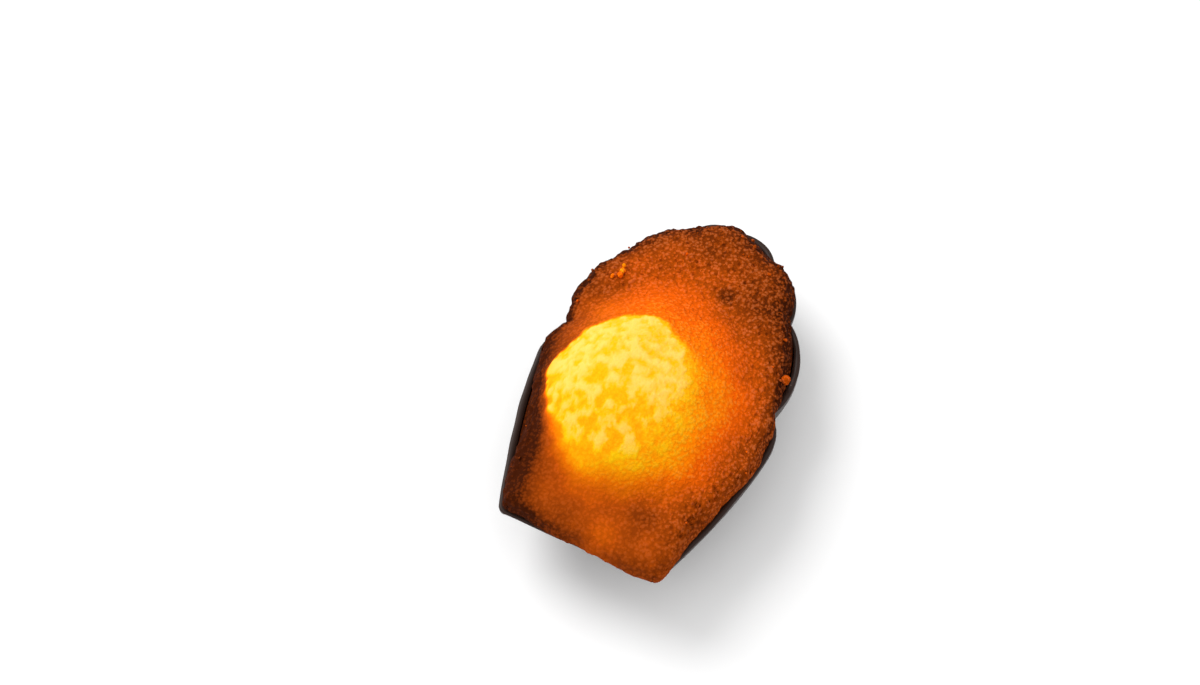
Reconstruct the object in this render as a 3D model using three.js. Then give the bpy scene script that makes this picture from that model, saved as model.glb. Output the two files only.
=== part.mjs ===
// A madeleine: a small shell-shaped sponge cake, lying on its scalloped side, with its hump up.
// The scalloped side sits in a thin moulded shell of dark chocolate, eight ribs fanning out
// from a flat narrow end to a round, lobed wide end.
// Millimetres, +X across, +Y from the narrow end to the wide end, +Z up, the cake resting on z = 0.
import * as THREE from "three";

// Plan of the chocolate rim: straight narrow edge, opening flanks and a half ellipse.
const LENGTH = 78.2;
const HALF_WIDTH = 25.8;
const WIDEST_Y = 36;
const NARROW_HALF_WIDTH = 16.9;
const CORNER_ROUND = 1.2;
const FLANK_POWER = 1.5;

// Belly of the chocolate shell, measured down from the rim.
const SHELL_DEPTH = 17;
const FOOT_CUT = 0.5;
const BELLY_POWER = 0.54;
const NARROW_REACH = 56;
const NARROW_DEPTH_SHARE = 0.42;
const END_FACE_LEAN = 0.42;
const SPINE_START_Y = 17;
const SPINE_END_Y = 60;
const SHELL_THICKNESS = 1.6;
const JOINT_GAP = 0.3;

// Ribs: four each side of the centre line, the last one running down the flank to the corner.
const RIBS_EACH_SIDE = 4;
const LAST_RIB = RIBS_EACH_SIDE - 1;
const LAST_RIB_Y = 42.3;
const LAST_RIB_RISE = 0.16;
const LAST_RIB_SPREAD = 1.3;
const RIM_TURN = THREE.MathUtils.degToRad(20.3);
const RIM_TURN_GROWTH = THREE.MathUtils.degToRad(2.3);
const GROOVE_AT_END_FACE = 0.7;
const GROOVE_AT_TIP = 0.6;
const GROOVE_AT_SIDE = 2.9;
const RIB_ROUNDNESS = 2.4;
const RIB_BEND_ACROSS = 0.36;
const RIB_BEND_ALONG = 0.75;
const RIB_FADE_IN = 0.12;
const END_FACE_ROUNDING = 0.05;
const FOOT_SEARCH_STEPS = 12;

// The sponge above the rim: a rounded edge and, off centre, the hump.
const EDGE_LIFT = 1.2;
const EDGE_LIFT_NARROW_END = 2.2;
const EDGE_INSET = 0.95;
const OVER_NARROW_END = 1.4;
const OFF_LEFT_FLANK = 1.2;
const LEFT_LOBES = { angle: THREE.MathUtils.degToRad(140), spread: 0.8, over: 1.5 };
const SIDE_LOBE = { angle: THREE.MathUtils.degToRad(36), spread: 0.4, off: 1.5 };
const MIDDLE_LOBE = { angle: THREE.MathUtils.degToRad(66), spread: 0.2, over: 0.6 };
const TIP_LOBE = { angle: THREE.MathUtils.degToRad(82), spread: 0.15, off: 1.4 };
const SIDE_BULGE = 0.4;
const NOTCH_SHARE = 0.55;
const PILLOW_HEIGHT = 3.6;
const PILLOW_WIDTH = 6.5;
const HUMP_HEIGHT = 10.6;
const HUMP_X = -3;
const HUMP_Y = 32;
const HUMP_REACH = 24;
const HUMP_REACH_LEFT = 20;
const HUMP_REACH_WIDE_END = 27;
const HUMP_SHOULDER = 2.3;
const HUMP_FOOT = 1.5;

// How finely the surfaces are divided.
const STEPS_PER_RIB = 8;
const STEPS_ON_LAST_RIB = 16;
const ROWS_ON_BELLY = 16;
const ROWS_ON_TOP = 18;

const { lerp, clamp, smoothstep } = THREE.MathUtils;

// Smooth bump, 1 at the middle and 0 from one width away.
function bump(value, middle, width) {
  const away = Math.min(1, Math.abs(value - middle) / width);
  return (1 - away * away) ** 2;
}

// Half the width of the smooth outline at y.
function outlineHalfWidth(y) {
  if (y >= WIDEST_Y) {
    const along = (y - WIDEST_Y) / (LENGTH - WIDEST_Y);
    return HALF_WIDTH * Math.sqrt(Math.max(0, 1 - along * along));
  }
  const back = (WIDEST_Y - y) / WIDEST_Y;
  const flank = HALF_WIDTH - (HALF_WIDTH - NARROW_HALF_WIDTH) * back ** FLANK_POWER;
  const fromCorner = clamp(1 - y / CORNER_ROUND, 0, 1);
  return flank - CORNER_ROUND * (1 - Math.sqrt(1 - fromCorner * fromCorner));
}

// The outline's point for a place across the fan: 0 at the wide tip, whole numbers in the
// grooves between ribs, +-RIBS_EACH_SIDE at the corners of the narrow end.
function outlinePoint(fan) {
  const side = Math.abs(fan);
  if (side < LAST_RIB) {
    const turnTo = (place) => RIM_TURN * place + RIM_TURN_GROWTH * place * place;
    const lastAngle = Math.asin((LAST_RIB_Y - WIDEST_Y) / (LENGTH - WIDEST_Y));
    const angle = lerp(Math.PI / 2, lastAngle, turnTo(side) / turnTo(LAST_RIB));
    const x = HALF_WIDTH * Math.cos(angle);
    return new THREE.Vector2(Math.sign(fan) * x, WIDEST_Y + (LENGTH - WIDEST_Y) * Math.sin(angle));
  }
  const y = LAST_RIB_Y * (RIBS_EACH_SIDE - side) ** LAST_RIB_SPREAD;
  return new THREE.Vector2(Math.sign(fan) * outlineHalfWidth(y), y);
}

// Outward direction of the smooth body at a point, as on an ellipsoid.
function bodyNormal(x, y, z) {
  const reach = y > WIDEST_Y ? LENGTH - WIDEST_Y : NARROW_REACH;
  const normal = new THREE.Vector3(
    x / HALF_WIDTH ** 2,
    (y - WIDEST_Y) / reach ** 2,
    z / SHELL_DEPTH ** 2,
  );
  return normal.normalize();
}

// Height of the smooth belly under a point of the plan.
function bellyHeight(x, y) {
  let depth = SHELL_DEPTH + FOOT_CUT;
  if (y >= WIDEST_Y) {
    const along = (y - WIDEST_Y) / (LENGTH - WIDEST_Y);
    depth *= Math.max(0, 1 - along * along) ** BELLY_POWER;
  } else {
    const back = (WIDEST_Y - y) / WIDEST_Y;
    depth *= 1 - (1 - NARROW_DEPTH_SHARE) * back * back;
  }
  const halfWidth = outlineHalfWidth(y);
  const across = halfWidth > 0 ? Math.min(1, Math.abs(x) / halfWidth) : 1;
  return -depth * Math.max(0, 1 - across * across) ** BELLY_POWER;
}

// Rib section across the fan: 0 on a crest, 1 in a groove. The last rib has a groove on its
// inner side only.
function grooveShare(fan) {
  const side = Math.abs(fan);
  const pastLastGroove = (side - LAST_RIB) / LAST_RIB_RISE;
  const fromCrest = side < LAST_RIB ? 2 * (side % 1) - 1 : Math.min(0, pastLastGroove - 1);
  return Math.abs(fromCrest) ** RIB_ROUNDNESS;
}

// How deep the grooves are, at a place across the fan and along a rib.
function grooveDepth(fan, along) {
  const side = Math.min(1, Math.abs(fan) / LAST_RIB);
  const atStart = GROOVE_AT_END_FACE * (1 - side * side);
  const atRim = lerp(GROOVE_AT_TIP, GROOVE_AT_SIDE, side);
  return lerp(atStart, atRim, smoothstep(along, 0, 1));
}

// Where a rib starts, on the lower edge of the flat narrow end.
function ribStart(fan) {
  const cornerX = outlineHalfWidth(0);
  const x = cornerX * Math.sin((fan / RIBS_EACH_SIDE) * (Math.PI / 2));
  let z = 0;
  if (Math.abs(fan) < RIBS_EACH_SIDE) {
    for (let i = 0; i < FOOT_SEARCH_STEPS; i++) z = bellyHeight(x, -END_FACE_LEAN * z);
  }
  z += grooveDepth(fan, 0) * grooveShare(fan);
  return new THREE.Vector3(x, -END_FACE_LEAN * z, z);
}

// The plan line of a rib, curving outward from its start to the rim.
function ribPlan(start, rim, t) {
  const bendX = lerp(start.x, rim.x, RIB_BEND_ACROSS);
  const bendY = lerp(start.y, rim.y, RIB_BEND_ALONG);
  const [near, middle, far] = [(1 - t) ** 2, 2 * t * (1 - t), t * t];
  return new THREE.Vector2(
    near * start.x + middle * bendX + far * rim.x,
    near * start.y + middle * bendY + far * rim.y,
  );
}

// A point of the ribbed belly. along runs from -1 on the straight narrow edge,
// by 0 at the foot of the end face, to 1 on the rim.
function bellyPoint(fan, along) {
  const start = ribStart(fan);
  if (along <= 0) {
    const edge = new THREE.Vector3(start.x, 0, 0);
    return start.lerp(edge, -along);
  }
  const t = Math.sin((along * Math.PI) / 2);
  const plan = ribPlan(start, outlinePoint(fan), t);
  const height = along >= 1 ? 0 : bellyHeight(plan.x, plan.y);
  const point = new THREE.Vector3(plan.x, plan.y, height);
  const fromStart = smoothstep(t, 0, RIB_FADE_IN);
  const cut = grooveDepth(fan, t) * grooveShare(fan) * fromStart;
  point.addScaledVector(bodyNormal(point.x, point.y, point.z), -cut);
  if (along < 1) point.z = lerp(start.z, point.z, smoothstep(t, 0, END_FACE_ROUNDING));
  if (along >= 1) point.z = 0;
  point.z = Math.max(point.z, -SHELL_DEPTH);
  return point;
}

// The point drawn in by an inset, straight towards the nearest place on the cake's spine.
function drawnIn(point, inset) {
  const spine = new THREE.Vector3(0, clamp(point.y, SPINE_START_Y, SPINE_END_Y), 0);
  const outward = point.clone().sub(spine).normalize();
  return point.clone().addScaledVector(outward, -inset);
}

// Places across the fan, from corner to corner.
function fanPlaces() {
  const half = [];
  for (let i = 0; i <= LAST_RIB * STEPS_PER_RIB; i++) half.push(i / STEPS_PER_RIB);
  for (let i = 1; i <= STEPS_ON_LAST_RIB; i++) half.push(LAST_RIB + i / STEPS_ON_LAST_RIB);
  const mirrored = half.slice(1).reverse();
  return [...mirrored.map((fan) => -fan), ...half];
}

const FAN = fanPlaces();

// The belly as columns of points, one column for each place across the fan.
function bellyGrid(inset) {
  return FAN.map((fan) => {
    const column = [bellyPoint(fan, -1)];
    for (let row = 0; row <= ROWS_ON_BELLY; row++) {
      column.push(bellyPoint(fan, row / ROWS_ON_BELLY));
    }
    return column.map((point) => drawnIn(point, inset));
  });
}

// A grid's closed outer loop: round the rim from corner to corner, then back along the narrow edge.
function rimLoop(grid) {
  const round = grid.map((column) => column[column.length - 1]);
  const narrow = grid.slice(1, -1).map((column) => column[0]);
  return [...round, ...narrow.reverse()];
}

// Collects triangles, shares the vertices that coincide and leaves out triangles with no area.
class SolidBuilder {
  constructor() {
    this.positions = [];
    this.indices = [];
    this.seen = new Map();
  }

  vertex(point) {
    const key = [point.x, point.y, point.z].map((value) => Math.round(value * 1e4)).join();
    if (!this.seen.has(key)) {
      this.seen.set(key, this.positions.length / 3);
      this.positions.push(point.x, point.y, point.z);
    }
    return this.seen.get(key);
  }

  triangle(a, b, c) {
    const [i, j, k] = [a, b, c].map((point) => this.vertex(point));
    if (i !== j && j !== k && k !== i) this.indices.push(i, j, k);
  }

  quad(a, b, c, d) {
    this.triangle(a, b, c);
    this.triangle(a, c, d);
  }

  grid(columns, facingDown) {
    for (let i = 0; i + 1 < columns.length; i++) {
      for (let j = 0; j + 1 < columns[i].length; j++) {
        const corners = [columns[i][j], columns[i][j + 1], columns[i + 1][j + 1], columns[i + 1][j]];
        if (!facingDown) corners.reverse();
        this.quad(...corners);
      }
    }
  }

  // The band between two loops of the same count.
  band(lower, upper) {
    lower.forEach((point, i) => {
      const next = (i + 1) % lower.length;
      this.quad(point, upper[i], upper[next], lower[next]);
    });
  }

  geometry() {
    const made = new THREE.BufferGeometry();
    made.setAttribute("position", new THREE.Float32BufferAttribute(this.positions, 3));
    made.setIndex(this.indices);
    made.computeVertexNormals();
    return made;
  }
}

// The chocolate shell: ribbed outside, the same ribs inside, and a narrow rim between them.
function chocolateShell() {
  const outside = bellyGrid(0);
  const inside = bellyGrid(SHELL_THICKNESS);
  const builder = new SolidBuilder();
  builder.grid(outside, true);
  builder.grid(inside, false);
  builder.band(rimLoop(outside), rimLoop(inside));
  return builder.geometry();
}

// How far the sponge's edge stands in from the smooth outline, less than 0 where it hangs over.
// It hangs over the narrow end and the left lobes of the wide end, and nearly reaches the rim at
// the middle lobe on the right. It has drawn back at the lobes beside that one and on the left
// flank, where the chocolate shows.
function edgeInset(point) {
  const direction = Math.atan2(point.y - WIDEST_Y, point.x);
  const overNarrowEnd = OVER_NARROW_END * smoothstep(WIDEST_Y - point.y, 22, 35);
  const overLeftLobes = LEFT_LOBES.over * bump(direction, LEFT_LOBES.angle, LEFT_LOBES.spread);
  const overMiddleLobe = MIDDLE_LOBE.over * bump(direction, MIDDLE_LOBE.angle, MIDDLE_LOBE.spread);
  const offSideLobe = SIDE_LOBE.off * bump(direction, SIDE_LOBE.angle, SIDE_LOBE.spread);
  const offTip = TIP_LOBE.off * bump(direction, TIP_LOBE.angle, TIP_LOBE.spread);
  const leftFlank = smoothstep(WIDEST_Y - point.y, 0, 12) * smoothstep(-point.x, 4, 14);
  const wandering = 0.25 * Math.sin(7 * direction + 1) + 0.2 * Math.sin(13 * direction + 2.4);
  const over = overNarrowEnd + overLeftLobes + overMiddleLobe;
  const drawnBack = offSideLobe + offTip + OFF_LEFT_FLANK * leftFlank;
  return EDGE_INSET - over + drawnBack + wandering;
}

// A point of the sponge's edge in plan, drawn in by an inset. Its notches are shallower than
// the chocolate's.
function spongeEdgePoint(fan, onNarrowEdge, inset) {
  const point = onNarrowEdge ? new THREE.Vector2(ribStart(fan).x, 0) : outlinePoint(fan);
  const notch = onNarrowEdge ? 0 : NOTCH_SHARE * grooveDepth(fan, 1) * grooveShare(fan);
  const edge = new THREE.Vector3(point.x, point.y, 0);
  const drawn = drawnIn(edge, edgeInset(point) + notch + inset);
  return new THREE.Vector2(drawn.x, drawn.y);
}

// Height of the sponge's upper edge over the chocolate's: the cake rose higher at the narrow end.
function edgeLift(y) {
  return lerp(EDGE_LIFT, EDGE_LIFT_NARROW_END, smoothstep(WIDEST_Y - y, -8, 22));
}

// Height of the sponge over the rim, at a place in plan and a distance in from its edge.
function spongeHeight(plan, fromEdge) {
  const rise = clamp(fromEdge / PILLOW_WIDTH, 0, 1);
  const pillow = PILLOW_HEIGHT * Math.sqrt(1 - (1 - rise) ** 2);
  const dx = plan.x - HUMP_X;
  const dy = plan.y - HUMP_Y;
  const reachX = dx < 0 ? HUMP_REACH_LEFT : HUMP_REACH;
  const reachY = dy > 0 ? HUMP_REACH_WIDE_END : HUMP_REACH;
  const away = Math.min(1, Math.hypot(dx / reachX, dy / reachY));
  const hump = HUMP_HEIGHT * (1 - away ** HUMP_SHOULDER) ** HUMP_FOOT;
  return edgeLift(plan.y) + pillow + hump;
}

// Shortest distance in plan from a point to a closed loop of points.
function distanceToLoop(plan, loop) {
  let nearest = Infinity;
  loop.forEach((from, i) => {
    const to = loop[(i + 1) % loop.length];
    const side = to.clone().sub(from);
    const share = clamp(plan.clone().sub(from).dot(side) / side.lengthSq(), 0, 1);
    nearest = Math.min(nearest, plan.distanceTo(from.clone().addScaledVector(side, share)));
  });
  return nearest;
}

// The sponge's top, in columns that fan out like the ribs below it.
function topGrid(inset) {
  const rows = Array.from({ length: ROWS_ON_TOP + 1 }, (_, row) => row / ROWS_ON_TOP);
  const columns = FAN.map((fan) => {
    const start = spongeEdgePoint(fan, Math.abs(fan) < RIBS_EACH_SIDE, inset);
    const rim = spongeEdgePoint(fan, false, inset);
    return rows.map((row) => ribPlan(start, rim, (1 - Math.cos(row * Math.PI)) / 2));
  });
  const edge = rimLoop(columns);
  return columns.map((column) =>
    column.map((plan) => {
      const height = spongeHeight(plan, distanceToLoop(plan, edge));
      return new THREE.Vector3(plan.x, plan.y, height);
    }),
  );
}

// The sponge: ribbed belly inside the chocolate, a rounded side over its rim, and the humped top.
function sponge() {
  const belly = bellyGrid(SHELL_THICKNESS + JOINT_GAP);
  const top = topGrid(SIDE_BULGE);
  const neck = rimLoop(belly);
  const neckTop = neck.map((point) => point.clone().setZ(JOINT_GAP));
  const edge = rimLoop(top);
  const foot = edge.map((point) => point.clone().setZ(JOINT_GAP));
  const bulge = edge.map((point) => {
    const moved = drawnIn(point.clone().setZ(0), -SIDE_BULGE);
    return moved.setZ(JOINT_GAP + edgeLift(point.y) / 2);
  });
  const builder = new SolidBuilder();
  builder.grid(belly, true);
  builder.band(neck, neckTop);
  builder.band(neckTop, foot);
  builder.band(foot, bulge);
  builder.band(bulge, edge);
  builder.grid(top, false);
  return builder.geometry();
}

const chocolate = new THREE.MeshStandardMaterial({ color: 0x3a2721, roughness: 0.35, metalness: 0 });
const bakedSponge = new THREE.MeshStandardMaterial({ color: 0xd57c1e, roughness: 0.85, metalness: 0 });

const madeleine = new THREE.Group();
const shellMesh = new THREE.Mesh(chocolateShell(), chocolate);
shellMesh.name = "chocolate_shell";
const spongeMesh = new THREE.Mesh(sponge(), bakedSponge);
spongeMesh.name = "sponge";
madeleine.add(shellMesh, spongeMesh);

// The origin is the middle of the underside of the whole cake's box.
const box = new THREE.Box3().setFromObject(madeleine);
for (const mesh of madeleine.children) {
  mesh.position.set(0, -(box.min.y + box.max.y) / 2, -box.min.z);
}

export default madeleine;
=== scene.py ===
"""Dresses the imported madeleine: baked sponge, moulded chocolate shell, crumbs, floor, light, camera.

The shapes are worked out in millimetres, with x across, y from the narrow end to the wide end
and z up from the rim of the chocolate, and then moved into the frame's own place in metres.
"""

import math

import bmesh
import bpy
import numpy as np
from bpy.props import FloatProperty, FloatVectorProperty, IntProperty, PointerProperty
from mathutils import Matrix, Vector


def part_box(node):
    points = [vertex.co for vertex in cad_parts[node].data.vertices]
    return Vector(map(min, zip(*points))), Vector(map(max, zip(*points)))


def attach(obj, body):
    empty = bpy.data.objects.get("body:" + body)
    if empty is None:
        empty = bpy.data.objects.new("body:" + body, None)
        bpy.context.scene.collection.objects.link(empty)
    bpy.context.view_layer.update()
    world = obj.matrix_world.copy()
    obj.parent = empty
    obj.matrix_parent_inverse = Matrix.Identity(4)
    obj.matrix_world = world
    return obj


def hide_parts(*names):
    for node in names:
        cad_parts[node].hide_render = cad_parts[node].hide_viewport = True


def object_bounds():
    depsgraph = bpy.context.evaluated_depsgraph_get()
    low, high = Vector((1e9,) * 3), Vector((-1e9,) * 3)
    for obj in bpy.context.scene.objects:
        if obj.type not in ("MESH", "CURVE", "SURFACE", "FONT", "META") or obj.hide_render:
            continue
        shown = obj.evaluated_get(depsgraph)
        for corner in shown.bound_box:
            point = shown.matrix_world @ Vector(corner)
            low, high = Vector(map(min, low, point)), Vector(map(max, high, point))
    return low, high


bl_info = {
    "name": "Madeleine",
    "version": (1, 0, 0),
    "blender": (4, 5, 0),
    "location": "3D View > Sidebar > Madeleine",
    "description": "Builds the looks of a chocolate-shelled madeleine round its CAD frame",
    "category": "Object",
}

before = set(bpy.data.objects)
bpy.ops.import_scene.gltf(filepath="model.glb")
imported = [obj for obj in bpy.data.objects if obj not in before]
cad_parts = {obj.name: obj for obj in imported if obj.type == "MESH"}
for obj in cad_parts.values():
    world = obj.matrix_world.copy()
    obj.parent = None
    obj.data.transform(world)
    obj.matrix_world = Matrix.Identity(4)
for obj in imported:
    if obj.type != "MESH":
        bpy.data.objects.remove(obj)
CAD_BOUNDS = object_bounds()

MM = 0.001
NEARLY_ZERO = 1e-9
# A row of x, y and z times this lies in the plane of the rim.
IN_PLAN = np.array([1, 1, 0])
# Where the camera aims, in millimetres from the middle of the narrow end's rim.
AIM_X = -15.2
AIM_Y = 41.6


def linear(hex_colour):
    """Turns an sRGB hex colour into linear red, green and blue."""
    channels = [int(hex_colour[i : i + 2], 16) / 255 for i in (1, 3, 5)]
    return tuple(c / 12.92 if c <= 0.04045 else ((c + 0.055) / 1.055) ** 2.4 for c in channels)


def length_prop(name, description, millimetres):
    """A length in the panel, with its default given in millimetres."""
    return FloatProperty(
        name=name,
        description=description,
        default=millimetres * MM,
        precision=5,
        subtype="DISTANCE",
        unit="LENGTH",
    )


def colour_prop(name, description, hex_colour):
    """A colour in the panel, with its default given as sRGB hex."""
    return FloatVectorProperty(
        name=name,
        description=description,
        default=linear(hex_colour),
        min=0,
        max=1,
        size=3,
        subtype="COLOR",
    )


class MadeleineShape(bpy.types.PropertyGroup):
    """Sizes shared by the chocolate shell and the sponge."""

    length: length_prop("Length", "Chocolate rim, narrow end to wide end", 78.2)
    half_width: length_prop("Half width", "Smooth outline at its widest", 25.8)
    widest_y: length_prop("Widest place", "Distance from the narrow end", 36)
    narrow_half_width: length_prop("Narrow half width", "Smooth outline at the narrow end", 16.9)
    corner_round: length_prop("Corner radius", "Corners of the narrow end", 1.2)
    shell_depth: length_prop("Shell depth", "Belly below the rim", 17)
    shell_thickness: length_prop("Shell thickness", "Wall of the chocolate", 1.6)
    groove_at_side: length_prop("Side groove depth", "Grooves between the side ribs at the rim", 2.9)
    groove_at_tip: length_prop("Tip groove depth", "Grooves between the middle ribs at the rim", 0.6)
    groove_at_end_face: length_prop("Narrow groove depth", "Grooves where they leave the end face", 0.7)
    edge_lift: length_prop("Edge lift", "Sponge edge over the chocolate, wide end", 1.2)
    edge_lift_narrow: length_prop("Narrow edge lift", "Sponge edge over the chocolate, narrow end", 2.2)
    pillow_height: length_prop("Pillow height", "Rounding of the sponge in from its edge", 3.6)
    hump_height: length_prop("Hump height", "Hump above the margin", 10.6)


class MadeleineLooks(bpy.types.PropertyGroup):
    """Colours and surface relief of the sponge and the chocolate."""

    pale: colour_prop("Pale crumb", "Lumps of the torn, least baked middle of the hump", "#f8ca5c")
    golden: colour_prop("Golden crumb", "Between the lumps", "#fab60a")
    amber: colour_prop("Amber crust", "Round the torn patch", "#ff8200")
    orange: colour_prop("Orange crust", "Flank of the hump", "#f05e00")
    brown: colour_prop("Brown crust", "Margin", "#a64403")
    dark: colour_prop("Dark crust", "Edge and left flank", "#3c1402")
    chocolate: colour_prop("Chocolate", "Moulded dark chocolate", "#2d1d17")
    crust_relief: length_prop("Crust relief", "Height of the sandy grain", 0.1)
    crumb_relief: length_prop("Crumb relief", "Height of the torn crumb on the hump", 0.22)
    pit_depth: length_prop("Pit depth", "Depth of the open pores", 0.28)
    crumb_count: IntProperty(name="Crumbs", description="Loose crumbs on the edge", default=34, min=1)


class MadeleineStage(bpy.types.PropertyGroup):
    """Floor, light and camera."""

    floor_colour: colour_prop("Floor", "Plain pale floor", "#fafafa")
    camera_azimuth: FloatProperty(
        name="Azimuth", description="Camera round the cake", default=math.radians(26), subtype="ANGLE"
    )
    camera_elevation: FloatProperty(
        name="Elevation", description="Camera above the floor", default=math.radians(62.5), subtype="ANGLE"
    )
    camera_distance: length_prop("Distance", "Camera to the middle of the picture", 400)
    lens: FloatProperty(name="Lens", description="Focal length in millimetres", default=59.6)
    key_strength: FloatProperty(name="Key light", description="Watts of the soft key light", default=3.4)
    sky_strength: FloatProperty(name="Sky light", description="Even light from all sides", default=0.9)


def smoothstep(value, low, high):
    """0 below low, 1 above high and a smooth rise between them."""
    t = np.clip((value - low) / (high - low), 0, 1)
    return t * t * (3 - 2 * t)


def lerp(a, b, t):
    """The value a share t of the way from a to b."""
    return a + (b - a) * t


def bump(value, middle, width):
    """Smooth bump, 1 at the middle and 0 from one width away."""
    away = np.minimum(1, np.abs(value - middle) / width)
    return (1 - away * away) ** 2


def lattice_value(cells, seed):
    """A repeatable random number from 0 to 1 for each whole-number cell."""
    mixed = cells[..., 0] * 374761393 + cells[..., 1] * 668265263 + cells[..., 2] * 2147483647
    mixed = (mixed + seed * 1274126177) & 0xFFFFFFFF
    mixed = ((mixed ^ (mixed >> 13)) * 1274126177) & 0xFFFFFFFF
    mixed = ((mixed ^ (mixed >> 16)) * 2246822519) & 0xFFFFFFFF
    return ((mixed ^ (mixed >> 15)) & 0xFFFFFF) / 0xFFFFFF


def grain(points, cell, seed):
    """Smooth noise from -1 to 1 with features about one cell wide."""
    scaled = points / cell
    base = np.floor(scaled).astype(np.int64)
    part = scaled - base
    part = part * part * (3 - 2 * part)
    total = np.zeros(points.shape[:-1])
    for corner in np.ndindex(2, 2, 2):
        offset = np.array(corner)
        weight = np.prod(np.where(offset == 1, part, 1 - part), axis=-1)
        total += weight * lattice_value(base + offset, seed)
    return 2 * total - 1


def layered_grain(points, cell, seed, layers):
    """Several layers of noise, each with half the size and half the height of the last."""
    total = np.zeros(points.shape[:-1])
    for layer in range(layers):
        total += grain(points, cell / 2**layer, seed + layer) / 2**layer
    return total


def nearest_dot(points, cell, seed):
    """Distance to the nearest of random dots, one per cell, and that dot's own random number."""
    base = np.floor(points / cell).astype(np.int64)
    best = np.full(points.shape[:-1], np.inf)
    number = np.zeros(points.shape[:-1])
    for step in np.ndindex(3, 3, 3):
        cells = base + np.array(step) - 1
        place = np.stack([lattice_value(cells, seed + axis) for axis in range(3)], axis=-1)
        away = np.linalg.norm((cells + place) * cell - points, axis=-1)
        closer = away < best
        best = np.where(closer, away, best)
        number = np.where(closer, lattice_value(cells, seed + 3), number)
    return best, number


RIBS_EACH_SIDE = 4
LAST_RIB = RIBS_EACH_SIDE - 1
LAST_RIB_Y = 42.3
LAST_RIB_RISE = 0.16
LAST_RIB_SPREAD = 1.3
RIM_TURN = math.radians(20.3)
RIM_TURN_GROWTH = math.radians(2.3)
RIB_ROUNDNESS = 2.4
RIB_BEND_ACROSS = 0.36
RIB_BEND_ALONG = 0.75
RIB_FADE_IN = 0.12
END_FACE_ROUNDING = 0.05
FOOT_SEARCH_STEPS = 12
FLANK_POWER = 1.5
FOOT_CUT = 0.5
BELLY_POWER = 0.54
NARROW_DEPTH_SHARE = 0.42
NARROW_REACH = 56
END_FACE_LEAN = 0.42
SPINE_START_Y = 17
SPINE_END_Y = 60
JOINT_GAP = 0.3
REST_GAP = 0.05
SIDE_BULGE = 0.4
NOTCH_SHARE = 0.55
EDGE_INSET = 0.95
OVER_NARROW_END = 1.4
OFF_LEFT_FLANK = 1.2
# Between these two distances from the widest place or the centre line each change sets in.
OVER_NARROW_RANGE = (22, 35)
LEFT_FLANK_ALONG = (0, 12)
LEFT_FLANK_ACROSS = (4, 14)
EDGE_LIFT_RANGE = (-8, 22)
EDGE_WAVES = ({"height": 0.25, "count": 7, "turn": 1}, {"height": 0.2, "count": 13, "turn": 2.4})
# How far the sponge's edge lies further over the chocolate on some lobes, or less far.
LOBES = (
    {"angle": math.radians(140), "spread": 0.8, "over": 1.5},
    {"angle": math.radians(66), "spread": 0.2, "over": 0.6},
    {"angle": math.radians(36), "spread": 0.4, "over": -1.5},
    {"angle": math.radians(82), "spread": 0.15, "over": -1.4},
)
PILLOW_WIDTH = 6.5
HUMP_X = -3
HUMP_Y = 32
HUMP_REACH = 24
HUMP_REACH_LEFT = 20
HUMP_REACH_WIDE_END = 27
HUMP_SHOULDER = 2.3
HUMP_FOOT = 1.5


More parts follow.
